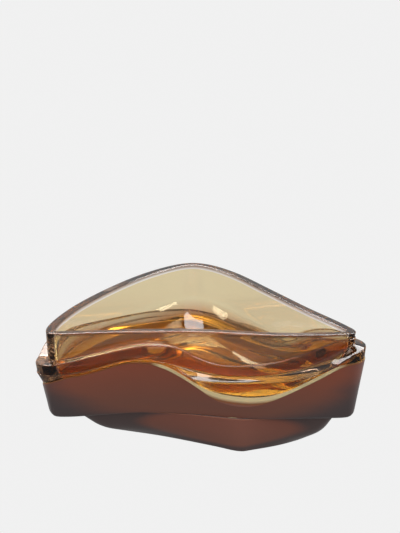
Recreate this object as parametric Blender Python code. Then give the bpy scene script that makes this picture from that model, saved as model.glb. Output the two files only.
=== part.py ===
# Art glass bowl: a heavy three-cornered bowl in three layers, each its own solid.
# Metres, +Z up, origin at the middle of the footprint on the base plane, front towards -Y.
import bpy
import math
import numpy as np

for old in list(bpy.data.objects):
    bpy.data.objects.remove(old, do_unlink=True)

mm = 0.001

# driving dimensions, in millimetres
rimHeight = 118.0      # top of the rim above the table
planWidth = 1.0        # multiplies every X reach
planDepth = 1.0        # multiplies every Y reach
rimWall = 8.8          # flat top of the rim, side to side
rimRound = 1.8         # rounding of the rim's two edges
ledgeRound = 1.6       # rounding of the ledge lips
shellWall = 5.0        # satin shell, side wall
floorHeight = 44.0     # inside floor of the bowl at its middle
glassFloor = 12.0      # thickness of the inner bowl under that floor
shellFloor = 18.0      # thickness of the satin shell under the inner bowl
shellFoot = 33.0       # height of the shell's lower edge
shellDraft = 0.2       # outward lean of the shell wall, per unit of height
collarDraft = 1.5      # how far the collar leans in below the rim
bandDraft = 1.5        # the same for the polished band below the upper ledge
edgeTaper = 3.5        # the shell's wave edge is a wedge this wide
edgeDrop = 7.0         # and this deep
bevelLean = 0.45       # inward lean of the bevel above it, per unit of height
layerGap = 0.3         # clearance between touching layers
stations = 96          # sections round the bowl, before the extra ones at the corners

# rim outline, outer edge, as (x, y)
rimPoints = (
    (-142, -89), (-139, -60), (-121, -9), (-89, 52), (-55, 101), (-20, 132), (8, 130),
    (39, 97), (73, 38), (105, -19), (136, -70), (144, -91), (130, -99), (72, -101),
    (0, -91), (-62, -91), (-128, -97),
)
# foot outlines as (x, y): on the table, and up against the shell
footPoints = (
    (36, -95), (13, -83), (-33, -60), (-75, -42), (-97, -29), (-97, -5), (-62, 48),
    (-22, 86), (10, 86), (48, 55), (88, 5), (112, -34), (109, -52), (81, -77), (50, -92),
)
shoulderPoints = (
    (36, -94.5), (15, -89), (-18, -80.5), (-54, -75.5), (-88, -79), (-108, -82), (-115, -74),
    (-116, -50), (-103, -12), (-72, 42), (-38, 88), (-12, 108), (8, 106), (34, 80),
    (68, 25), (98, -20), (122, -56), (128, -76), (120, -88), (84, -90), (56, -93.5),
)
# heights of the wavy edges, each knot as (direction in degrees, height)
upperWave = (
    (-152, 87), (-144, 90.5), (-134, 99), (-122, 105.4), (-112, 105.3), (-103, 101.7),
    (-93, 93), (-80, 86), (-68, 86), (-54, 92), (-45, 101.4), (-39, 110), (-34, 113), (-26, 111),
    (-14, 98), (-2, 82), (14, 70), (45, 62), (75, 58.5), (97, 61), (122, 74), (152, 84), (172, 90),
    (-170, 96), (-159, 94),
)
lowerWave = (
    (-152, 77), (-140, 81), (-129, 90), (-120, 92), (-110, 87), (-100, 82), (-90, 78),
    (-76, 74), (-62, 75.6), (-50, 82.4), (-42, 92.2), (-37, 101.7), (-33, 106.5), (-27, 105),
    (-16, 94), (-2, 74), (14, 63), (35, 57), (65, 53), (95, 54), (120, 64), (150, 73), (178, 78),
)
satinWave = (
    (-150, 64.5), (-142, 76.3), (-131, 86.5), (-120, 87), (-111, 82.2), (-102, 74), (-92, 63.3),
    (-82, 51.8), (-72, 46.5), (-62, 48), (-52, 59.5), (-43, 76), (-37, 90), (-32, 93.5),
    (-26, 92), (-14, 80), (0, 65), (16, 57), (35, 53), (65, 50), (95, 51), (120, 59), (150, 65),
)
# height of the shell's bevel along the wave edge
bevelWave = (
    (-160, 1.2), (-121, 1.2), (-112, 2.8), (-104, 3.2), (-95, 2.8), (-89, 4), (-82, 6.5),
    (-72, 8.5), (-62, 7.5), (-55, 4.5), (-49, 3), (-42, 3.2), (-38, 2.4), (-34, 1.2), (60, 1.2), (150, 1.2),
)
# widths of the two ledges, and how far the lower one falls outwards
upperLedge = (
    (-156, 12), (-149, 12), (-142, 7), (-120, 5.5), (-107, 2.5), (-95, 1.2), (-30, 1.2),
    (0, 1.5), (45, 3), (92, 6), (130, 4), (160, 9), (180, 13),
)
lowerLedge = (
    (-156, 1), (-125, 1), (-113, 1.5), (-107, 4), (-101, 7.5), (-95, 9.8), (-88, 9.3), (-78, 7),
    (-68, 5.8), (-57, 6), (-49, 8), (-42, 11), (-37, 12.5), (-28, 10.5), (-10, 15), (15, 18),
    (40, 16), (65, 6), (90, 2), (120, 6), (145, 12), (170, 8),
)
lowerFall = (
    (-125, 0.6), (-106, 0.4), (-100, 3.4), (-93, 6.4), (-86, 5.8), (-79, 4.3), (-69, 3.8),
    (-59, 4.5), (-50, 7.3), (-42, 8.2), (-38, 7.3), (-33, 1.4), (15, 2), (60, 1), (180, 0.8),
)
# shell's lower edge, in or out from the rim outline
shellSpread = (
    (-156, 0), (-144, -4), (-122, -12), (-100, -9), (-80, -5), (-62, -4), (-48, -6),
    (-38, -4), (-28, 1), (0, 2), (30, 0), (60, -6), (92, -10), (125, -6), (150, 0), (178, 3),
)
# rounding of the shell's lower edge: full at the corners, crisp along the step line in front
shellRound = ((-150, 8), (-138, 7), (-124, 1.5), (-60, 1.5), (-46, 5), (-33, 8), (0, 7), (180, 7))


def around(knots, angles, column=1):
    """Smooth closed curve through (angle, value, ...) knots."""
    table = sorted((float(k[0]) % 360, float(k[column])) for k in knots)
    a = np.array([t[0] for t in table])
    v = np.array([t[1] for t in table])
    a = np.concatenate([a[-2:] - 360, a, a[:2] + 360])
    v = np.concatenate([v[-2:], v, v[:2]])
    slope = np.zeros_like(v)
    slope[1:-1] = (v[2:] - v[:-2]) / (a[2:] - a[:-2])
    at = np.mod(angles, 360)
    i = np.clip(np.searchsorted(a, at, side="right") - 1, 1, len(a) - 3)
    h = a[i + 1] - a[i]
    t = (at - a[i]) / h
    return ((2 * t**3 - 3 * t**2 + 1) * v[i] + (t**3 - 2 * t**2 + t) * h * slope[i]
            + (3 * t**2 - 2 * t**3) * v[i + 1] + (t**3 - t**2) * h * slope[i + 1])


def outline(points, angles):
    """Reach of a smooth closed outline in the given directions."""
    p = np.array(points, float)
    before, after = np.roll(p, 1, 0), np.roll(p, -1, 0)
    beyond = np.roll(p, -2, 0)
    dense = []
    for t in np.linspace(0, 1, 24, endpoint=False):
        dense.append(0.5 * (2 * p + (after - before) * t
                            + (2 * before - 5 * p + 4 * after - beyond) * t**2
                            + (3 * p - before - 3 * after + beyond) * t**3))
    dense = np.stack(dense, 1).reshape(-1, 2)
    direction = np.mod(np.degrees(np.arctan2(dense[:, 1], dense[:, 0])), 360)
    order = np.argsort(direction)
    return np.interp(np.mod(angles, 360), direction[order],
                     np.hypot(dense[order, 0], dense[order, 1]), period=360)


def ring(reach, height, angles):
    rad = np.radians(angles)
    return np.stack([reach * np.cos(rad), reach * np.sin(rad), height * np.ones_like(rad)], 1)


def inset(points, distance):
    """Move a closed ring towards its inside, square to its own edge."""
    tangent = np.roll(points, -1, 0) - np.roll(points, 1, 0)
    tangent /= np.hypot(tangent[:, 0], tangent[:, 1])[:, None]
    moved = points.copy()
    moved[:, 0] -= tangent[:, 1] * distance
    moved[:, 1] += tangent[:, 0] * distance
    return moved


def rounded(rings, radii, steps=3):
    """Replace each ring that has a radius with a short arc of rings."""
    result = []
    for i, (here, radius) in enumerate(zip(rings, radii)):
        if np.max(radius) <= 0 or i in (0, len(rings) - 1):
            result.append(here)
            continue
        back, ahead = rings[i - 1] - here, rings[i + 1] - here
        reach = [np.linalg.norm(v, axis=1) for v in (back, ahead)]
        cut = np.minimum(radius, 0.42 * np.minimum(*reach))[:, None]
        start = here + back / reach[0][:, None] * cut
        end = here + ahead / reach[1][:, None] * cut
        for t in np.linspace(0, 1, steps):
            result.append((1 - t)**2 * start + 2 * t * (1 - t) * here + t**2 * end)
    return result


def solid(name, rings, top, bottom, material):
    """Loft closed rings, listed from the top centre round to the bottom centre."""
    count = len(rings[0])
    points = np.concatenate(rings + [np.array([[0, 0, top], [0, 0, bottom]])])
    points = points * np.array([planWidth, planDepth, 1]) * mm
    first, last = len(points) - 2, len(points) - 1
    faces = []
    for j in range(count):
        k = (j + 1) % count
        faces.append((first, j, k))
        for i in range(len(rings) - 1):
            a, b = i * count, (i + 1) * count
            if points[a + j][2] < points[b + j][2]:  # same diagonals on both sides of a gap
                faces += [(a + j, b + j, b + k), (a + j, b + k, a + k)]
            else:
                faces += [(a + j, b + j, a + k), (b + j, b + k, a + k)]
        z = (len(rings) - 1) * count
        faces.append((z + k, z + j, last))
    mesh = bpy.data.meshes.new(name)
    mesh.from_pydata(points.tolist(), [], faces)
    mesh.validate()
    mesh.update()
    mesh.shade_smooth()
    mesh.materials.append(material)
    made = bpy.data.objects.new(name, mesh)
    bpy.context.scene.collection.objects.link(made)
    return made


def glassMaterial(name, colour, roughness):
    material = bpy.data.materials.new(name)
    material.use_nodes = True
    shader = material.node_tree.nodes["Principled BSDF"]
    shader.inputs["Base Color"].default_value = (*colour, 1)
    shader.inputs["Roughness"].default_value = roughness
    shader.inputs["Transmission Weight"].default_value = 1
    shader.inputs["IOR"].default_value = 1.5
    return material


angles = [-180 + 360 * i / stations for i in range(stations)]
for corner in (-148, -33, 93):
    angles += [corner + 1.9 * s + 0.4 for s in (-4, -3, -2, -1, 0, 1, 2, 3, 4)]
angles = sorted(angles)
angles = np.array([a for i, a in enumerate(angles) if i == 0 or a - angles[i - 1] > 0.7])

# shared edges: every tier is the rim outline moved out or in, at its own wavy height
rimOuter = ring(outline(rimPoints, angles), rimHeight, angles)


def tier(spread, height):
    made = inset(rimOuter, -spread)
    made[:, 2] = height
    return made


def shrunk(points, part, height):
    made = points * part
    made[:, 2] = height
    return made


upperHeight, lowerHeight = around(upperWave, angles), around(lowerWave, angles)
lowerHeight = np.minimum(lowerHeight, upperHeight - 4)
lipHeight = lowerHeight - around(lowerFall, angles)
satinHeight = np.minimum(around(satinWave, angles), lipHeight - 2.8)
upperSpread = around(upperLedge, angles) - collarDraft
lowerSpread = upperSpread - bandDraft + around(lowerLedge, angles)
shellEdge = tier(around(shellSpread, angles), shellFoot)
satinSpread = np.minimum(around(shellSpread, angles) + shellDraft * (satinHeight - shellFoot),
                         lowerSpread - 0.5)
collar = tier(-collarDraft, upperHeight)
upperLip = tier(upperSpread, upperHeight - 0.6)
band = tier(upperSpread - bandDraft, lowerHeight)
lowerLip = tier(lowerSpread, lipHeight)
satin = tier(satinSpread, satinHeight)
bevel = np.minimum(around(bevelWave, angles), lipHeight - 1.6 - satinHeight)
bandFoot = tier(satinSpread - bevelLean * bevel, satinHeight + bevel)
footBase = ring(outline(footPoints, angles), 0, angles)

# inner bowl: hollow, rim, collar, two ledges, then the hidden side that sits in the shell
rimInner = tier(-rimWall, rimHeight)
waist = tier(-rimWall - 1.5, 0.5 * (rimHeight + floorHeight))
hollow = [shrunk(waist, part, floorHeight + rise)
          for part, rise in ((0.30, 0.4), (0.58, 2.5), (0.78, 9), (0.92, 23))] + [waist]
liningBottom = floorHeight - glassFloor


def apart(rings):
    """The matching surface across a gap: further out and lower."""
    moved = []
    for points in rings:
        reach = np.hypot(points[:, 0], points[:, 1])[:, None]
        away = points * (1 + layerGap / reach)
        away[:, 2] = points[:, 2] - layerGap
        moved.append(away)
    return moved


# where the inner bowl sits in the shell, from the wave edge in
bed = shellEdge * (1 - shellWall / 100)
lining = [tier(satinSpread - edgeTaper, satinHeight - edgeDrop),
          shrunk(bed, 1, np.minimum(satinHeight - edgeDrop - 2, shellFoot + 16))]
lining += [shrunk(bed, part, max(liningBottom + rise, least))
           for part, rise, least in ((0.92, 4, shellFoot + 2), (0.74, 1.5, 0), (0.40, 0.4, 0))]

bowlRings = hollow + [rimInner, rimOuter, collar, upperLip, band, lowerLip, bandFoot] + lining
bowlRadii = ([0] * len(hollow) + [rimRound, rimRound, 2.2, ledgeRound, 2.2, ledgeRound, 0]
             + [0] * 5)
amber = glassMaterial("amber_glass", (0.86, 0.56, 0.16), 0.02)
brown = glassMaterial("brown_satin_glass", (0.36, 0.17, 0.09), 0.45)
dark = glassMaterial("foot_satin_glass", (0.30, 0.15, 0.11), 0.45)
solid("inner_bowl", rounded(bowlRings, bowlRadii), floorHeight, liningBottom, amber)

# satin shell: lining, wave edge, outer wall, lower edge, underside
shellTop = tier(satinSpread - bevelLean * bevel + layerGap, satinHeight + bevel - 3 * layerGap)
waveEdge = tier(satinSpread, satinHeight - 3 * layerGap)
middle = 0.5 * (satin + shellEdge)
shellBottom = liningBottom - shellFloor
footTop = ring(outline(shoulderPoints, angles), shellFoot, angles)
underside = [shrunk(footTop, 0.975, shellFoot - 0.3),
             shrunk(0.5 * (footTop + footBase), 0.84, shellBottom)]
seat = apart(lining)
seat[0][:, 2] -= layerGap  # a little more room under the wave edge, where the height runs fastest
shellRings = list(reversed(seat)) + [shellTop, waveEdge, middle, shellEdge] + underside
shellRadii = [0] * len(lining) + [0, 0.5, 0, around(shellRound, angles), 0, 0]
solid("satin_shell", rounded(shellRings, shellRadii), liningBottom - layerGap, shellBottom, brown)

# foot: fills the shell's underside and tapers to the base outline
footTop[:, 2] = shellFoot - 0.3 - layerGap
footWaist = shrunk(0.42 * footBase + 0.58 * footTop, 1.012, 0.4 * shellFoot)
footRings = list(reversed(apart(underside))) + [footTop, footWaist, footBase,
                                                shrunk(footBase, 0.6, 0)]
solid("foot_tier", rounded(footRings, [0, 0, 0, 6.0, 1.5, 0]), shellBottom - layerGap, 0, dark)

# stand the footprint's middle on the origin
corners = np.array([v.co[:] for o in bpy.data.objects for v in o.data.vertices])
shift = -0.5 * (corners.min(0) + corners.max(0))
for made in bpy.data.objects:
    for v in made.data.vertices:
        v.co[0] += shift[0]
        v.co[1] += shift[1]
print("size mm", (corners.max(0) - corners.min(0)) / mm, "shift", shift / mm)
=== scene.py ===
# Looks for the three-layer art glass bowl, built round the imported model.
import bpy
import math
import numpy as np
from mathutils import Matrix, Vector


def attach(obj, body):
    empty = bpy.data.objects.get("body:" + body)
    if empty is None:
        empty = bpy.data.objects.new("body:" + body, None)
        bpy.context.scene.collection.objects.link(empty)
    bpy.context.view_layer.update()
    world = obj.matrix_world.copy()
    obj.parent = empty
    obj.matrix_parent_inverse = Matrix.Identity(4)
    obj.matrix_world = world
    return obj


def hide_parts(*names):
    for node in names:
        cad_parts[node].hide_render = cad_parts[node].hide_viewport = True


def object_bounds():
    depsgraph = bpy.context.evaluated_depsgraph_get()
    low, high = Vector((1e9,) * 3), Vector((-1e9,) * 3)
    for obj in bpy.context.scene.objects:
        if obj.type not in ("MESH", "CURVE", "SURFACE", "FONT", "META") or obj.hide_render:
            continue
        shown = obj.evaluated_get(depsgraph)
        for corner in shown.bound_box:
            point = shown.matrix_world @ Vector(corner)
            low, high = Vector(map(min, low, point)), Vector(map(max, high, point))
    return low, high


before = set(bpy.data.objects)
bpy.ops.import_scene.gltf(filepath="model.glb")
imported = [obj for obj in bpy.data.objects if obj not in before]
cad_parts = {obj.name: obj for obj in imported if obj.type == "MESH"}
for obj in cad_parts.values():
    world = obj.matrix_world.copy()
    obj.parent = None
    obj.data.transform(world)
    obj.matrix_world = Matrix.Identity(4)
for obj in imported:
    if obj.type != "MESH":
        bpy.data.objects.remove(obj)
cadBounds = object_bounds()
mm = 0.001
print("frame loaded:", sorted(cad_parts))

# sizes that the pieces share, in millimetres, the same as the model's
shared = {
    "rimHeight": 118.0, "shellFoot": 33.0, "floorHeight": 44.0, "glassFloor": 12.0, "shellFloor": 18.0,
    "layerGap": 0.3,
    "stations": 400, "ringSpacing": 3.0,  # fineness round the bowl and across its walls
    "corners": (-148, -33, 93), "cornerWidth": 9.0, "cornerCrowding": 3,  # stations lie closer here
    "waveSettle": 3, "outlineSteps": 60,
    "roundSteps": 7, "mostRound": 0.42,  # share of a side that a rounding may take
}


def around(knots, angles):  # smooth closed curve through (direction in degrees, value)
    table = sorted((float(k[0]) % 360, float(k[1])) for k in knots)
    a = np.array([t[0] for t in table])
    v = np.array([t[1] for t in table])
    a = np.concatenate([a[-2:] - 360, a, a[:2] + 360])
    v = np.concatenate([v[-2:], v, v[:2]])
    slope = np.zeros_like(v)
    slope[1:-1] = (v[2:] - v[:-2]) / (a[2:] - a[:-2])
    at = np.mod(angles, 360)
    i = np.clip(np.searchsorted(a, at, side="right") - 1, 1, len(a) - 3)
    h = a[i + 1] - a[i]
    t = (at - a[i]) / h
    return ((2 * t**3 - 3 * t**2 + 1) * v[i] + (t**3 - 2 * t**2 + t) * h * slope[i]
            + (3 * t**2 - 2 * t**3) * v[i + 1] + (t**3 - t**2) * h * slope[i + 1])


def outline(points, angles):  # reach of a smooth closed outline in each direction
    p = np.array(points, float)
    before, after = np.roll(p, 1, 0), np.roll(p, -1, 0)
    beyond = np.roll(p, -2, 0)
    dense = []
    for t in np.linspace(0, 1, shared["outlineSteps"], endpoint=False):
        dense.append(0.5 * (2 * p + (after - before) * t
                            + (2 * before - 5 * p + 4 * after - beyond) * t**2
                            + (3 * p - before - 3 * after + beyond) * t**3))
    dense = np.stack(dense, 1).reshape(-1, 2)
    direction = np.mod(np.degrees(np.arctan2(dense[:, 1], dense[:, 0])), 360)
    order = np.argsort(direction)
    return np.interp(np.mod(angles, 360), direction[order],
                     np.hypot(dense[order, 0], dense[order, 1]), period=360)


def ring(reach, height, angles):
    rad = np.radians(angles)
    return np.stack([reach * np.cos(rad), reach * np.sin(rad), height * np.ones_like(rad)], 1)


def inset(points, distance):
    tangent = np.roll(points, -1, 0) - np.roll(points, 1, 0)
    tangent /= np.hypot(tangent[:, 0], tangent[:, 1])[:, None]
    moved = points.copy()
    moved[:, 0] -= tangent[:, 1] * distance
    moved[:, 1] += tangent[:, 0] * distance
    return moved


def rounded(rings, radii):
    result = []
    for i, (here, radius) in enumerate(zip(rings, radii)):
        if np.max(radius) <= 0 or i in (0, len(rings) - 1):
            result.append(here)
            continue
        back, ahead = rings[i - 1] - here, rings[i + 1] - here
        reach = [np.linalg.norm(v[:, :3], axis=1) for v in (back, ahead)]
        cut = np.minimum(radius, shared["mostRound"] * np.minimum(*reach))[:, None]
        start = here + back / reach[0][:, None] * cut
        end = here + ahead / reach[1][:, None] * cut
        for t in np.linspace(0, 1, shared["roundSteps"]):
            result.append((1 - t)**2 * start + 2 * t * (1 - t) * here + t**2 * end)
    return result


def settle(values, width):  # rounds a wave's heights off over a few stations
    weights = np.hanning(2 * width + 3)[1:-1]
    padded = np.concatenate([values[-width:], values, values[:width]])
    return np.convolve(padded, weights / weights.sum(), mode="valid")


def filled(rings, spacing):  # adds even rings across the long walls
    result = [rings[0]]
    for here, ahead in zip(rings, rings[1:]):
        parts = max(1, int(np.ceil(np.linalg.norm((ahead - here)[:, :3], axis=1).mean() / spacing)))
        result += [here + (ahead - here) * k / parts for k in range(1, parts + 1)]
    return result


def toned(rings, tones):  # a fourth column carries the depth of colour along, and on the shell and foot where painted light goes
    return [np.column_stack([points, tone * np.ones(len(points))])
            for points, tone in zip(rings, tones)]


def shrunk(points, part, height):
    made = points * part
    made[:, 2] = height
    return made


def apart(rings):  # the matching surface across a gap
    moved = []
    for points in rings:
        reach = np.hypot(points[:, 0], points[:, 1])[:, None]
        away = points * (1 + shared["layerGap"] / reach)
        away[:, 2] = points[:, 2] - shared["layerGap"]
        moved.append(away)
    return moved


def solid(name, rings, top, bottom):  # one closed mesh, with its depth of colour, or on the shell and foot its mask of painted light, as "tone"
    count, rows = len(rings[0]), len(rings)
    ends = np.array([[0, 0, top, rings[0][0, 3]], [0, 0, bottom, rings[-1][0, 3]]])
    table = np.concatenate(rings + [ends])
    points = table[:, :3] * mm
    first, last = len(points) - 2, len(points) - 1
    j = np.arange(count)
    k = (j + 1) % count
    faces = []
    for i in range(rows - 1):
        a, b = i * count, (i + 1) * count
        faces += np.stack([a + j, b + j, b + k, a + k], 1).tolist()
    faces += np.stack([np.full(count, first), j, k], 1).tolist()
    z = (rows - 1) * count
    faces += np.stack([z + k, z + j, np.full(count, last)], 1).tolist()
    mesh = bpy.data.meshes.new(name)
    mesh.from_pydata(points.tolist(), [], faces)
    mesh.update()
    mesh.shade_smooth()
    tone = mesh.attributes.new("tone", "FLOAT", "POINT")
    tone.data.foreach_set("value", table[:, 3].astype(np.float32))
    made = bpy.data.objects.new(name, mesh)
    bpy.context.scene.collection.objects.link(made)
    print("built", name, len(faces), "faces")
    return made


def stationAngles():
    even = -180 + 360 * np.arange(shared["stations"]) / shared["stations"]
    crowding = sum(np.exp(-((even - c) / shared["cornerWidth"])**2) for c in shared["corners"])
    step = 1 / (1 + shared["cornerCrowding"] * crowding)
    spread = np.cumsum(step)
    return -180 + 360 * (spread - spread[0]) / (spread[-1] - spread[0] + step[-1])


angles = stationAngles()


def wave(knots):
    return settle(around(knots, angles), shared["waveSettle"])


# inner bowl: sizes in mm, outline as (x, y), waves as (direction in degrees, mm)
bowl = {
    "rimWall": 8.8, "rimRound": 1.8, "collarDraft": 1.5, "bandDraft": 1.5,
    "ledgeRound": 1.6, "ledgeHollow": 2.2, "ledgeDrop": 0.6,
    "waistIn": 1.5, "hollowRound": 9.0, "footRound": 0.4, "seatRound": (3, 5, 4, 4),
    "hollowSteps": ((0.30, 0.4), (0.58, 2.5), (0.78, 9), (0.92, 23)),  # share of the waist, rise
    "depth": {"rim": -1.0, "ledge": -0.7, "wall": 0.28, "low": 0.75, "floor": 1.0},  # of colour
    "depthBlend": 5, "depthMargin": 1,
    "rim": (
        (-142, -89), (-139, -60), (-121, -9), (-89, 52), (-55, 101), (-20, 132), (8, 130),
        (39, 97), (73, 38), (105, -19), (136, -70), (144, -91), (130, -99), (72, -101),
        (0, -91), (-62, -91), (-128, -97),
    ),
    "upperWave": (
        (-152, 87), (-144, 90.5), (-134, 99), (-122, 105.4), (-112, 105.3), (-103, 101.7),
        (-93, 93), (-80, 86), (-68, 86), (-54, 92), (-45, 101.4), (-39, 110), (-34, 113), (-26, 111),
        (-14, 98), (-2, 82), (14, 70), (45, 62), (75, 58.5), (97, 61), (122, 74), (152, 84), (172, 90),
        (-170, 96), (-159, 94),
    ),
    "lowerWave": (
        (-152, 77), (-140, 81), (-129, 90), (-120, 92), (-110, 87), (-100, 82), (-90, 78),
        (-76, 74), (-62, 75.6), (-50, 82.4), (-42, 92.2), (-37, 101.7), (-33, 106.5), (-27, 105),
        (-16, 94), (-2, 74), (14, 63), (35, 57), (65, 53), (95, 54), (120, 64), (150, 73), (178, 78),
    ),
    "upperLedge": (
        (-156, 12), (-149, 12), (-142, 7), (-120, 5.5), (-107, 2.5), (-95, 1.2), (-30, 1.2),
        (0, 1.5), (45, 3), (92, 6), (130, 4), (160, 9), (180, 13),
    ),
    "lowerLedge": (
        (-156, 1), (-125, 1), (-113, 1.5), (-107, 4), (-101, 7.5), (-95, 9.8), (-88, 9.3), (-78, 7),
        (-68, 5.8), (-57, 6), (-49, 8), (-42, 11), (-37, 12.5), (-28, 10.5), (-10, 15), (15, 18),
        (40, 16), (65, 6), (90, 2), (120, 6), (145, 12), (170, 8),
    ),
    "lowerFall": (  # how far the lower ledge falls outwards
        (-125, 0.6), (-106, 0.4), (-100, 3.4), (-93, 6.4), (-86, 5.8), (-79, 4.3), (-69, 3.8),
        (-59, 4.5), (-50, 7.3), (-42, 8.2), (-38, 7.3), (-33, 1.4), (15, 2), (60, 1), (180, 0.8),
    ),
    "leastBand": 4, "leastFace": 2.8, "leastFoot": 1.6,  # least heights of the three steps
}
rimOuter = ring(outline(bowl["rim"], angles), shared["rimHeight"], angles)


def tier(out, height):
    made = inset(rimOuter, -out)
    made[:, 2] = height
    return made


upperHeight = wave(bowl["upperWave"])
lowerHeight = np.minimum(wave(bowl["lowerWave"]), upperHeight - bowl["leastBand"])
lipHeight = lowerHeight - wave(bowl["lowerFall"])
upperSpread = wave(bowl["upperLedge"]) - bowl["collarDraft"]
lowerSpread = upperSpread - bowl["bandDraft"] + wave(bowl["lowerLedge"])
ledges = [tier(-bowl["collarDraft"], upperHeight), tier(upperSpread, upperHeight - bowl["ledgeDrop"]),
          tier(upperSpread - bowl["bandDraft"], lowerHeight), tier(lowerSpread, lipHeight)]

# satin shell: the wave edge, its bevel and the seat that the bowl drops into
shell = {
    "wall": 5.0, "draft": 0.2, "edgeTaper": 3.5, "edgeDrop": 7.0, "edgeInside": 0.5,
    "bevelLean": 0.45, "edgeGaps": 3, "seatMost": 16, "seatLeast": 2,
    "seatSteps": ((0.92, 4), (0.74, 1.5), (0.40, 0.4)),  # share of the bed, rise
    "seatRound": (4, 4, 5, 3), "bevelRound": (0.3, 0.5),
    "wave": (
        (-150, 64.5), (-142, 76.3), (-131, 86.5), (-120, 87), (-111, 82.2), (-102, 74), (-92, 63.3),
        (-82, 51.8), (-72, 46.5), (-62, 48), (-52, 59.5), (-43, 76), (-37, 90), (-32, 93.5),
        (-26, 92), (-14, 80), (0, 65), (16, 57), (35, 53), (65, 50), (95, 51), (120, 59), (150, 65),
    ),
    "bevel": (
        (-160, 1.2), (-121, 1.2), (-112, 2.8), (-104, 3.2), (-95, 2.8), (-89, 4), (-82, 6.5),
        (-72, 8.5), (-62, 7.5), (-55, 4.5), (-49, 3), (-42, 3.2), (-38, 2.4), (-34, 1.2), (60, 1.2),
        (150, 1.2),
    ),
    "spread": (  # lower edge, in or out from the rim
        (-156, 0), (-144, -4), (-122, -12), (-100, -9), (-80, -5), (-62, -4), (-48, -6),
        (-38, -4), (-28, 1), (0, 2), (30, 0), (60, -6), (92, -10), (125, -6), (150, 0), (178, 3),
    ),
    "edgeRound": (  # full at the corners, crisp along the step line in front
        (-150, 8), (-138, 7), (-124, 1.5), (-60, 1.5), (-46, 5), (-33, 8), (0, 7), (180, 7),
    ),
    "paleFrom": 1.8, "paleOver": 2, "lineTone": 0.95, "lineFade": 0.08,  # a narrow bevel keeps the painted orange glow line instead of the painted cream light
    "topShare": 0.08,  # how far down the painted orange glow line under the wave edge reaches
}
satinHeight = np.minimum(wave(shell["wave"]), lipHeight - bowl["leastFace"])
shellEdge = tier(wave(shell["spread"]), shared["shellFoot"])
satinSpread = np.minimum(wave(shell["spread"]) + shell["draft"] * (satinHeight - shared["shellFoot"]),
                         lowerSpread - shell["edgeInside"])
bevel = np.minimum(wave(shell["bevel"]), lipHeight - bowl["leastFoot"] - satinHeight)
liningBottom = shared["floorHeight"] - shared["glassFloor"]
shellBottom = liningBottom - shared["shellFloor"]


def seatRings():  # where the bowl and the shell meet
    bed = shellEdge * (1 - shell["wall"] / 100)
    tuck = satinHeight - shell["edgeDrop"]
    upright = np.minimum(tuck - shell["seatLeast"], shared["shellFoot"] + shell["seatMost"])
    return ([tier(satinSpread - shell["edgeTaper"], tuck), shrunk(bed, 1, upright)]
            + [shrunk(bed, part, liningBottom + rise) for part, rise in shell["seatSteps"]])


lining = seatRings()

# foot: its outlines as (x, y), on the table and up against the shell
foot = {
    "table": (
        (36, -95), (13, -83), (-33, -60), (-75, -42), (-97, -29), (-97, -5), (-62, 48),
        (-22, 86), (10, 86), (48, 55), (88, 5), (112, -34), (109, -52), (81, -77), (50, -92),
    ),
    "shoulder": (
        (36, -94.5), (15, -89), (-18, -80.5), (-54, -75.5), (-88, -79), (-108, -82), (-115, -74),
        (-116, -50), (-103, -12), (-72, 42), (-38, 88), (-12, 108), (8, 106), (34, 80),
        (68, 25), (98, -20), (122, -56), (128, -76), (120, -88), (84, -90), (56, -93.5),
    ),
    "seam": 0.3, "seatTop": 0.975, "seatBottom": 0.84,
    "belly": 0.42, "bellyOut": 1.012, "bellyHeight": 0.4, "bellyRound": 14.0,
    # lineShare: how far down the painted reddish glow line at the top of the foot reaches
    "topRound": 0.5, "tableRound": 2.0, "tableMiddle": 0.6, "lineShare": 0.06,
}
footBase = ring(outline(foot["table"], angles), 0, angles)
footTop = ring(outline(foot["shoulder"], angles), shared["shellFoot"], angles)
footSeat = [shrunk(footTop, foot["seatTop"], shared["shellFoot"] - foot["seam"]),
            shrunk(0.5 * (footTop + footBase), foot["seatBottom"], shellBottom)]


def innerBowl():
    rimInner = tier(-bowl["rimWall"], shared["rimHeight"])
    waist = tier(-bowl["rimWall"] - bowl["waistIn"], 0.5 * (shared["rimHeight"] + shared["floorHeight"]))
    hollow = [shrunk(waist, part, shared["floorHeight"] + rise) for part, rise in bowl["hollowSteps"]]
    bandFoot = tier(satinSpread - shell["bevelLean"] * bevel, satinHeight + bevel)
    rings = hollow + [waist, rimInner, rimOuter] + ledges + [bandFoot] + lining
    depth = bowl["depth"]
    radii = ([0] + [bowl["hollowRound"]] * 4 + [bowl["rimRound"]] * 2
             + [bowl["ledgeHollow"], bowl["ledgeRound"]] * 2 + [bowl["footRound"], *bowl["seatRound"], 0])
    tones = ([depth["floor"]] * 3 + [depth["low"], depth["wall"], depth["rim"], depth["rim"]]
             + [depth["ledge"]] * 4 + [0] * 6)
    rings = filled(rounded(toned(rings, tones), radii), shared["ringSpacing"])
    inside = True
    for points in rings:
        if points[0, 2] > shared["rimHeight"] - bowl["rimRound"]:
            inside = False
            continue
        below = (upperHeight - bowl["depthMargin"] - points[:, 2]) / bowl["depthBlend"]
        onWall = depth["wall"] + np.clip(below, 0, 1) * (depth["low"] - depth["wall"])
        onCollar = np.where(points[:, 2] > upperHeight + bowl["depthMargin"], 0, depth["rim"])
        points[:, 3] = np.maximum(points[:, 3], onWall if inside else onCollar)
    return solid("innerBowl", rings, shared["floorHeight"], liningBottom)


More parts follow.
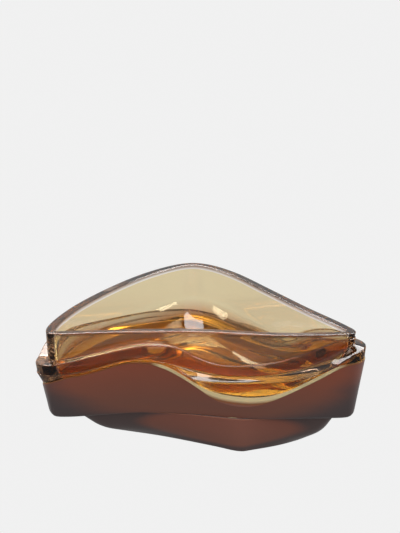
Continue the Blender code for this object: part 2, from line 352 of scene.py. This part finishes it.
def satinShell():
    gap = shared["layerGap"]
    seat = apart(lining)
    seat[0][:, 2] -= gap
    top = tier(satinSpread - shell["bevelLean"] * bevel + gap,
               satinHeight + bevel - shell["edgeGaps"] * gap)
    edge = tier(satinSpread, satinHeight - shell["edgeGaps"] * gap)
    middle = 0.5 * (tier(satinSpread, satinHeight) + shellEdge)
    underEdge = (1 - shell["topShare"]) * edge + shell["topShare"] * middle
    rings = list(reversed(seat)) + [top, edge, underEdge, middle, shellEdge] + footSeat
    radii = [0, *shell["seatRound"], *shell["bevelRound"], 0, 0, wave(shell["edgeRound"]), 0, 0]
    # painted light: the bevel rings carry painted cream light, and a narrow bevel and the ring under it
    # carry a painted orange glow line
    pale = 0.5 + 0.5 * np.clip((bevel - shell["paleFrom"]) / shell["paleOver"], 0, 1)
    line = np.minimum(pale, shell["lineTone"] - shell["lineFade"] * bevel)
    tones = [0, 0, 0, 0, pale, pale, line, 0, 0, 0, 0, 0]
    rings = filled(rounded(toned(rings, tones), radii), shared["ringSpacing"])
    return solid("satinShell", rings, liningBottom - gap, shellBottom)


def footTier():
    gap = shared["layerGap"]
    top = shrunk(footTop, 1, shared["shellFoot"] - foot["seam"] - gap)
    belly = shrunk(foot["belly"] * footBase + (1 - foot["belly"]) * footTop, foot["bellyOut"],
                   foot["bellyHeight"] * shared["shellFoot"])
    underTop = (1 - foot["lineShare"]) * top + foot["lineShare"] * belly
    rings = list(reversed(apart(footSeat))) + [top, underTop, belly, footBase,
                                               shrunk(footBase, foot["tableMiddle"], 0)]
    # painted light: the top of the foot carries the painted reddish glow line at the step
    tones = [0, 1, 1, 0, 0, 0, 0]
    radii = [0, 0, foot["topRound"], 0, foot["bellyRound"], foot["tableRound"], 0]
    rings = filled(rounded(toned(rings, tones), radii), shared["ringSpacing"])
    return solid("footTier", rings, shellBottom - gap, 0)


def nodesOf(material):
    material.use_nodes = True
    return material.node_tree.nodes, material.node_tree.links


def node(nodes, kind, **values):
    made = nodes.new("ShaderNode" + kind)
    for name, value in values.items():
        made.inputs[name.replace("_", " ")].default_value = value
    return made


def effectGroup(name, given, result):  # an empty group with its named sockets
    group = bpy.data.node_groups.new(name, "ShaderNodeTree")
    for direction, sockets in (("INPUT", given), ("OUTPUT", result)):
        for label, kind in sockets.items():
            group.interface.new_socket(label, in_out=direction, socket_type="NodeSocket" + kind)
    nodes = group.nodes
    return group, nodes, group.links.new, nodes.new("NodeGroupInput"), nodes.new("NodeGroupOutput")


def frostGroup():  # satin grain: fine height, a slow drift in roughness and a cloudy tone
    group, nodes, link, given, result = effectGroup(
        "satinFrost", {"Grain Scale": "Float", "Roughness": "Float"},
        {"Height": "Float", "Roughness": "Float", "Cloud": "Float"})
    place = node(nodes, "TexCoord")
    grain = node(nodes, "TexNoise", Detail=2)
    link(place.outputs["Object"], grain.inputs["Vector"])
    link(given.outputs["Grain Scale"], grain.inputs["Scale"])
    drift = node(nodes, "TexNoise", Scale=14, Detail=3)
    link(place.outputs["Object"], drift.inputs["Vector"])
    wander = node(nodes, "Math")
    wander.operation = "MULTIPLY_ADD"
    wander.inputs[1].default_value = 0.12  # how far the roughness strays
    link(drift.outputs["Fac"], wander.inputs[0])
    link(given.outputs["Roughness"], wander.inputs[2])
    link(grain.outputs["Fac"], result.inputs["Height"])
    link(wander.outputs[0], result.inputs["Roughness"])
    link(drift.outputs["Fac"], result.inputs["Cloud"])
    return group


def streakGroup():  # long flat swirls left in poured glass
    group, nodes, link, given, result = effectGroup(
        "pourStreaks", {"Scale": "Float", "Stretch": "Vector"}, {"Streak": "Float", "Ripple": "Float"})
    place = node(nodes, "TexCoord")
    stretch = node(nodes, "VectorMath")
    stretch.operation = "MULTIPLY"
    link(place.outputs["Object"], stretch.inputs[0])
    link(given.outputs["Stretch"], stretch.inputs[1])
    streak = node(nodes, "TexNoise", Detail=4, Distortion=0.6)
    link(stretch.outputs["Vector"], streak.inputs["Vector"])
    link(given.outputs["Scale"], streak.inputs["Scale"])
    ripple = node(nodes, "TexNoise", Detail=1, Scale=22)
    link(place.outputs["Object"], ripple.inputs["Vector"])
    link(streak.outputs["Fac"], result.inputs["Streak"])
    link(ripple.outputs["Fac"], result.inputs["Ripple"])
    return group


frost, streaks = frostGroup(), streakGroup()


def placed(nodes, group, **values):
    made = nodes.new("ShaderNodeGroup")
    made.node_tree = group
    for name, value in values.items():
        made.inputs[name.replace("_", " ")].default_value = value
    return made


def ramp(nodes, *stops):
    made = nodes.new("ShaderNodeValToRGB")
    while len(made.color_ramp.elements) < len(stops):
        made.color_ramp.elements.new(0.5)
    for element, (position, colour) in zip(made.color_ramp.elements, stops):
        element.position = position
        element.color = (*colour, 1)
    return made


def toneOf(nodes):  # the depth of colour, or on the satin the mask of painted light, that the mesh carries
    made = nodes.new("ShaderNodeAttribute")
    made.attribute_name = "tone"
    return made.outputs["Fac"]


def bumped(nodes, links, shader, height, strength, distance):
    bump = node(nodes, "Bump", Strength=strength, Distance=distance)
    links.new(height, bump.inputs["Height"])
    links.new(bump.outputs["Normal"], shader.inputs["Normal"])


amberLook = {  # tint by depth of colour, from the greyish rim to the deep floor
    "rim": (0.24, 0.15, 0.11), "clear": (0.93, 0.90, 0.86), "wall": (0.68, 0.525, 0.23),
    "low": (0.42, 0.085, 0.0005), "floor": (0.48, 0.14, 0.005),
    "absorb": (0.62, 0.50, 0.36), "density": 15.0,
    "ior": 1.5, "roughness": 0.004, "ripple": 0.02, "rippleHeight": 0.004,
    "streaks": 9.0, "flatten": (1, 1, 6),
}


def amberGlass():
    material = bpy.data.materials.new("amberGlass")
    nodes, links = nodesOf(material)
    shader = nodes["Principled BSDF"]
    shader.inputs["Transmission Weight"].default_value = 1
    shader.inputs["IOR"].default_value = amberLook["ior"]
    shader.inputs["Metallic"].default_value = 0
    pour = placed(nodes, streaks, Scale=amberLook["streaks"], Stretch=amberLook["flatten"])
    depth = node(nodes, "MapRange", From_Min=-1)
    links.new(toneOf(nodes), depth.inputs["Value"])
    tint = ramp(nodes, (0.0, amberLook["rim"]), (0.5, amberLook["clear"]), (0.64, amberLook["wall"]),
                (0.87, amberLook["low"]), (1.0, amberLook["floor"]))
    links.new(depth.outputs["Result"], tint.inputs["Fac"])
    links.new(tint.outputs["Color"], shader.inputs["Base Color"])
    rough = node(nodes, "MapRange", To_Min=0.0, To_Max=amberLook["roughness"])
    links.new(pour.outputs["Streak"], rough.inputs["Value"])
    links.new(rough.outputs["Result"], shader.inputs["Roughness"])
    bumped(nodes, links, shader, pour.outputs["Ripple"], amberLook["ripple"], amberLook["rippleHeight"])
    absorb = node(nodes, "VolumeAbsorption", Color=(*amberLook["absorb"], 1), Density=amberLook["density"])
    links.new(absorb.outputs["Volume"], nodes["Material Output"].inputs["Volume"])
    return material


satinLook = {  # what the shell and the foot have in common
    "ior": 1.5, "sheen": 0.4, "sheenRoughness": 0.4, "grain": 900.0, "grainBump": 0.12,
    "grainHeight": 0.0004, "streaks": 7.0, "flatten": (1, 1, 5), "streakDrift": 0.2,
    # fadeFrom to fadeTo: where the painted glow gives way to painted shade at the ends; lineFrom to lineTo:
    # where the painted bevel light and glow line begin
    "fadeFrom": 0.92, "fadeTo": 1.22, "lineFrom": 0.35, "lineTo": 0.45,
}
# painted light on the shell: core is its brown, glow is a painted glow of light through the glass that
# rises with height and sits in the middle, edge is painted shade at the ends, line is a painted orange glow
# line under the wave edge, bevel is painted cream light on the bevel
shellLook = {
    "core": (0.29, 0.112, 0.074), "glow": (0.44, 0.115, 0.060), "edge": (0.115, 0.085, 0.085),
    "middle": (0.0, 0.085), "reach": (0.150, 0.060), "glowRiseFrom": 0.045, "glowRiseTo": 0.088,
    "line": (0.30, 0.10, 0.03), "bevel": (0.92, 0.78, 0.44), "roughness": 0.42,
}
# painted light on the foot: glow rises with height in the middle, edge is painted shade at the ends, and
# line and bevel are the painted reddish glow line along the top of the foot at the step
footLook = {
    "core": (0.30, 0.118, 0.082), "glow": (0.34, 0.118, 0.078), "edge": (0.13, 0.085, 0.080),
    "middle": (0.020, 0.020), "reach": (0.078, 0.016), "glowRiseFrom": 0.01, "glowRiseTo": 0.03,
    "line": (0.42, 0.16, 0.10), "bevel": (0.42, 0.16, 0.10), "roughness": 0.45,
}


def mixed(nodes, links, factor, first, second):  # each colour is a socket, or a plain colour
    mix = nodes.new("ShaderNodeMix")
    mix.data_type = "RGBA"
    links.new(factor, mix.inputs["Factor"])
    for name, colour in (("A", first), ("B", second)):
        if isinstance(colour, tuple):
            mix.inputs[name].default_value = (*colour, 1)
        else:
            links.new(colour, mix.inputs[name])
    return mix.outputs["Result"]


def paintedShadeDistance(nodes, links, place, look):  # 0 in the middle, where the painted glow of light through the glass is strongest, past 1 at the ends, which are painted in shade
    pour = placed(nodes, streaks, Scale=satinLook["streaks"], Stretch=satinLook["flatten"])
    core = nodes.new("ShaderNodeMapping")
    core.vector_type = "TEXTURE"
    core.inputs["Location"].default_value = (look["middle"][0], 0, look["middle"][1])
    core.inputs["Scale"].default_value = (look["reach"][0], 10, look["reach"][1])
    links.new(place.outputs["Object"], core.inputs["Vector"])
    away = nodes.new("ShaderNodeVectorMath")
    away.operation = "LENGTH"
    links.new(core.outputs["Vector"], away.inputs[0])
    drift = nodes.new("ShaderNodeMath")
    drift.operation = "MULTIPLY_ADD"
    drift.inputs[1].default_value = satinLook["streakDrift"]
    links.new(pour.outputs["Streak"], drift.inputs[0])
    links.new(away.outputs["Value"], drift.inputs[2])
    return drift.outputs[0]


def satinGlass(name, look):
    material = bpy.data.materials.new(name)
    nodes, links = nodesOf(material)
    shader = nodes["Principled BSDF"]
    shader.inputs["IOR"].default_value = satinLook["ior"]
    shader.inputs["Transmission Weight"].default_value = 0
    shader.inputs["Metallic"].default_value = 0
    shader.inputs["Sheen Weight"].default_value = satinLook["sheen"]
    shader.inputs["Sheen Roughness"].default_value = satinLook["sheenRoughness"]
    grain = placed(nodes, frost, Grain_Scale=satinLook["grain"], Roughness=look["roughness"])
    place = nodes.new("ShaderNodeTexCoord")
    rise = nodes.new("ShaderNodeSeparateXYZ")
    links.new(place.outputs["Object"], rise.inputs["Vector"])
    # painted light: the brown turns to a painted glow towards the top and the middle, and to painted shade
    # at the ends
    height = node(nodes, "MapRange", From_Min=look["glowRiseFrom"], From_Max=look["glowRiseTo"])
    links.new(rise.outputs["Z"], height.inputs["Value"])
    glowByHeight = ramp(nodes, (0.0, look["core"]), (1.0, look["glow"]))
    links.new(height.outputs["Result"], glowByHeight.inputs["Fac"])
    fade = node(nodes, "MapRange", From_Min=satinLook["fadeFrom"], From_Max=satinLook["fadeTo"])
    fade.interpolation_type = "SMOOTHSTEP"
    links.new(paintedShadeDistance(nodes, links, place, look), fade.inputs["Value"])
    shadedEnds = mixed(nodes, links, fade.outputs["Result"], glowByHeight.outputs["Color"], look["edge"])
    # painted light along the wave edge: painted cream light on the bevel and a painted orange glow line
    # under it
    paintedLineMask = node(nodes, "MapRange", From_Min=satinLook["lineFrom"], From_Max=satinLook["lineTo"])
    links.new(toneOf(nodes), paintedLineMask.inputs["Value"])
    bevelLight = ramp(nodes, (0.5, look["line"]), (0.72, look["bevel"]), (1.0, look["bevel"]))
    links.new(toneOf(nodes), bevelLight.inputs["Fac"])
    lined = mixed(nodes, links, paintedLineMask.outputs["Result"], shadedEnds, bevelLight.outputs["Color"])
    links.new(lined, shader.inputs["Base Color"])
    links.new(grain.outputs["Roughness"], shader.inputs["Roughness"])
    bumped(nodes, links, shader, grain.outputs["Height"], satinLook["grainBump"], satinLook["grainHeight"])
    return material


liningLook = {"colour": (0.82, 0.80, 0.42), "shade": 0.82, "grain": 700.0, "roughness": 0.5,
              "above": 1, "facingUp": 0.8, "facingDown": -0.3}  # which faces it covers


def frostedLining():  # the shell's hidden side, seen through the amber glass
    material = bpy.data.materials.new("frostedLining")
    nodes, links = nodesOf(material)
    shader = nodes["Principled BSDF"]
    grain = placed(nodes, frost, Grain_Scale=liningLook["grain"], Roughness=liningLook["roughness"])
    light = liningLook["colour"]
    tone = ramp(nodes, (0.25, tuple(liningLook["shade"] * c for c in light)), (0.75, light))
    links.new(grain.outputs["Cloud"], tone.inputs["Fac"])
    links.new(tone.outputs["Color"], shader.inputs["Base Color"])
    links.new(grain.outputs["Roughness"], shader.inputs["Roughness"])
    return material


def lineShell(piece):  # gives the faces that turn in and up the lining's material
    for face in piece.data.polygons:
        middle, turn = face.center, face.normal
        inward = middle.x * turn.x + middle.y * turn.y < 0
        above = middle.z > (shellBottom + liningLook["above"]) * mm
        if above and (inward or turn.z > liningLook["facingUp"]) and turn.z > liningLook["facingDown"]:
            face.material_index = 1


bowlPiece, shellPiece, footPiece = innerBowl(), satinShell(), footTier()
bowlPiece.data.materials.append(amberGlass())
shellPiece.data.materials.append(satinGlass("brownSatin", shellLook))
shellPiece.data.materials.append(frostedLining())
lineShell(shellPiece)
footPiece.data.materials.append(satinGlass("footSatin", footLook))
print("glass, satin and lining made")

# stand the new pieces where the model's box is
pieces = ((bowlPiece, "inner_bowl", "amber_glass"), (shellPiece, "satin_shell", "satin_brown"),
          (footPiece, "foot_tier", "satin_foot"))
points = np.array([v.co[:] for piece, _, _ in pieces for v in piece.data.vertices])
shift = 0.5 * (np.array(cadBounds[0]) + np.array(cadBounds[1])) - 0.5 * (points.min(0) + points.max(0))
shift[2] = 0
for piece, nodeName, slotName in pieces:
    piece.data.transform(Matrix.Translation(Vector(shift)))
    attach(piece, "root")
    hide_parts(nodeName)
print("placed, moved by", (shift / mm).round(2))

# the room: one pale tone where it is looked at, and a soft fall of light in reflections
studio = {"pale": 0.876, "floorReach": 6.0, "floorDrop": 0.0005, "floorGloss": 0.22,
          "low": 0.4, "high": 0.8, "lowAt": -0.1, "highAt": 0.8}


def grey(value):
    return (value, value, value)


def seenPlain(nodes, links):  # 1 where the room is looked at, straight or through glass
    path = nodes.new("ShaderNodeLightPath")
    seen = nodes.new("ShaderNodeMath")
    seen.operation = "MAXIMUM"
    links.new(path.outputs["Is Camera Ray"], seen.inputs[0])
    links.new(path.outputs["Is Transmission Ray"], seen.inputs[1])
    return seen.outputs[0]


def floorSheet():
    bpy.ops.mesh.primitive_plane_add(size=2 * studio["floorReach"], location=(0, 0, -studio["floorDrop"]))
    sheet = bpy.context.object
    sheet.name = "floorSheet"
    material = bpy.data.materials.new("paleFloor")
    nodes, links = nodesOf(material)
    nodes.remove(nodes["Principled BSDF"])
    glow = nodes.new("ShaderNodeEmission")
    tone = mixed(nodes, links, seenPlain(nodes, links), grey(studio["floorGloss"]), grey(studio["pale"]))
    links.new(tone, glow.inputs["Color"])
    links.new(glow.outputs["Emission"], nodes["Material Output"].inputs["Surface"])
    sheet.data.materials.append(material)


def backdrop():
    world = bpy.data.worlds.new("paleRoom")
    nodes, links = nodesOf(world)
    place = nodes.new("ShaderNodeTexCoord")
    split = nodes.new("ShaderNodeSeparateXYZ")
    links.new(place.outputs["Generated"], split.inputs["Vector"])
    rise = node(nodes, "MapRange", From_Min=studio["lowAt"], From_Max=studio["highAt"])
    links.new(split.outputs["Z"], rise.inputs["Value"])
    sky = ramp(nodes, (0.0, grey(studio["low"])), (1.0, grey(studio["high"])))
    links.new(rise.outputs["Result"], sky.inputs["Fac"])
    tone = mixed(nodes, links, seenPlain(nodes, links), sky.outputs["Color"], grey(studio["pale"]))
    links.new(tone, nodes["Background"].inputs["Color"])
    bpy.context.scene.world = world


# name, direction round from the front, elevation, distance, size, brightness, lights the satin too
softboxes = (
    ("topSoftbox", 165, 70, 1.3, (2.1, 1.4), 8.8, False),
    ("leftSoftbox", -103, 14, 1.4, (0.34, 0.26), 12.0, True),
    ("rightSoftbox", 90, 16, 1.4, (0.42, 0.28), 12.0, True),
)
softboxAim = Vector((0, 0, 0.08))


def lights():
    for name, turn, rise, distance, size, brightness, onSatin in softboxes:
        turn, rise = math.radians(turn), math.radians(rise)
        toward = Vector((math.sin(turn) * math.cos(rise), -math.cos(turn) * math.cos(rise), math.sin(rise)))
        lamp = bpy.data.lights.new(name, "AREA")
        lamp.shape = "RECTANGLE"
        lamp.size, lamp.size_y = size
        lamp.energy = brightness * math.pi * size[0] * size[1]
        made = bpy.data.objects.new(name, lamp)
        made.location = softboxAim + distance * toward
        made.rotation_euler = (-toward).to_track_quat("-Z", "Y").to_euler()
        made.visible_camera = False
        made.visible_diffuse = onSatin
        bpy.context.scene.collection.objects.link(made)
    print("lit by", len(softboxes), "softboxes")


camera = {"distance": 1.470, "elevation": 20.0, "aimHeight": 0.060, "lens": 100.0, "sensor": 36,
          "tiltUp": 3.5}  # the bowl sits a little below the middle of the picture


def standCamera():
    data = bpy.data.cameras.new("camera")
    data.lens = camera["lens"]
    data.sensor_width = camera["sensor"]
    made = bpy.data.objects.new("camera", data)
    up = math.radians(camera["elevation"])
    target = Vector((shift[0], shift[1], camera["aimHeight"]))
    made.location = target + camera["distance"] * Vector((0, -math.cos(up), math.sin(up)))
    made.rotation_euler = (math.pi / 2 - up + math.radians(camera["tiltUp"]), 0, 0)
    bpy.context.scene.collection.objects.link(made)
    bpy.context.scene.camera = made


floorSheet()
backdrop()
lights()
standCamera()
scene = bpy.context.scene
scene.view_settings.view_transform = "Standard"
scene.cycles.max_bounces = 24
scene.cycles.transmission_bounces = 24
scene.cycles.glossy_bounces = 12
scene.cycles.caustics_refractive = True
scene.cycles.caustics_reflective = True
print("camera stands", camera["distance"], "m away")
